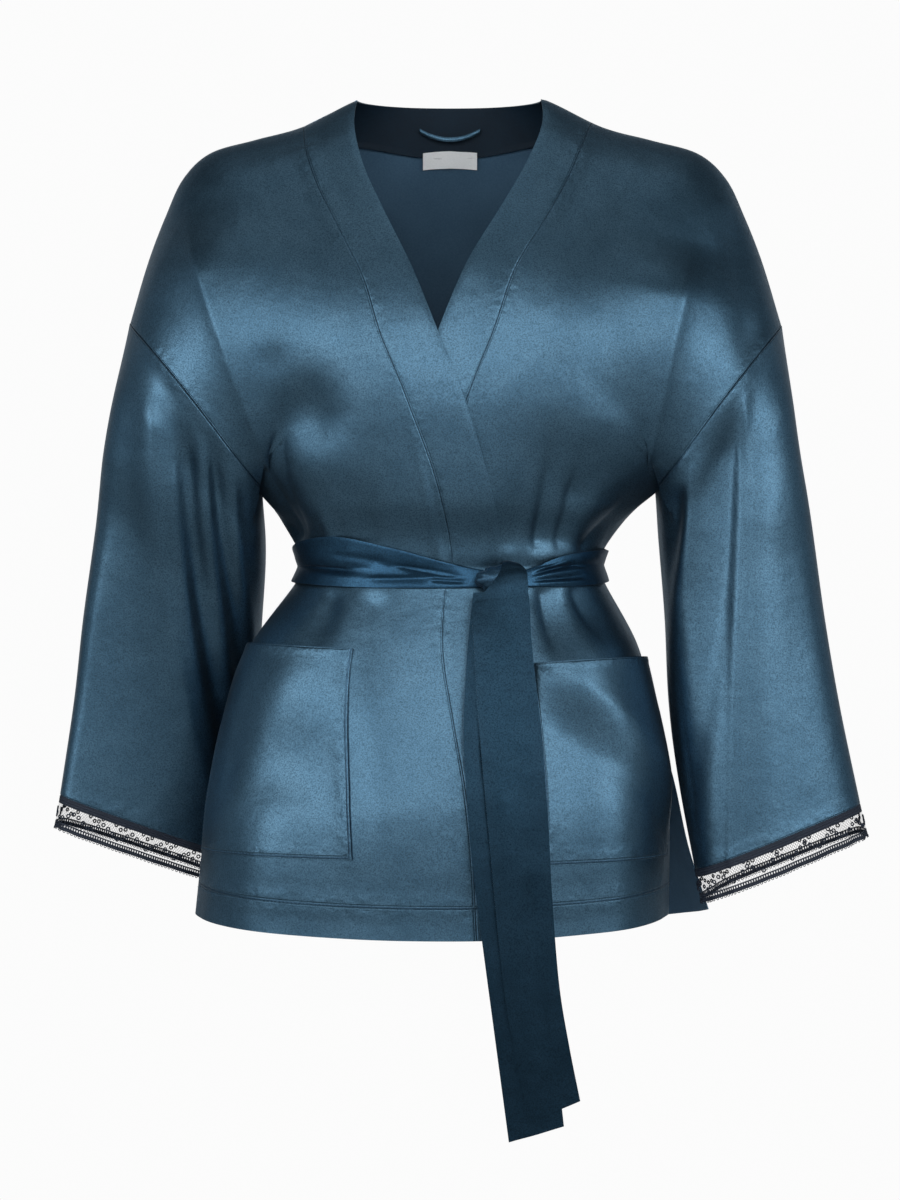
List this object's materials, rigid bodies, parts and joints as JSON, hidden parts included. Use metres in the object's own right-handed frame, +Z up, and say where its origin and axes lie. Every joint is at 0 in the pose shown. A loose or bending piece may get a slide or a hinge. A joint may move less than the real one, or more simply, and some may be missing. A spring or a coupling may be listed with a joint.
{
  "type": "kimono robe",
  "caption": "Short satin kimono robe, worn and hollow, lapped and tied with its belt, with wide lace-edged sleeves and patch pockets.",
  "frame": {"origin": "midway between the two neck points on the shoulders, where the wearer's shoulders carry the robe", "axes": "+Z up; the fronts face -Y; the wearer's right side is at -X"},
  "size_m": [0.688, 0.3031, 0.8643],
  "materials": {
    "satin": "steel blue silk satin, glossy face",
    "belt": "dark blue silk satin, doubled",
    "lace": "charcoal net lace edging",
    "label": "blank white woven label"
  },
  "bodies": {
    "root": {"front_right": "satin", "front_left": "satin", "back": "satin", "neckband_right": "satin", "neckband_left": "satin", "neckband_back": "satin", "sleeve_right": "satin", "sleeve_left": "satin", "pocket_right": "satin", "pocket_left": "satin", "lace_right": "lace", "lace_left": "lace", "belt_waist": "belt", "belt_knot": "belt", "belt_tail_front": "belt", "belt_tail_back": "belt", "hanger_loop": "satin", "label": "label"}
  },
  "joints": []
}
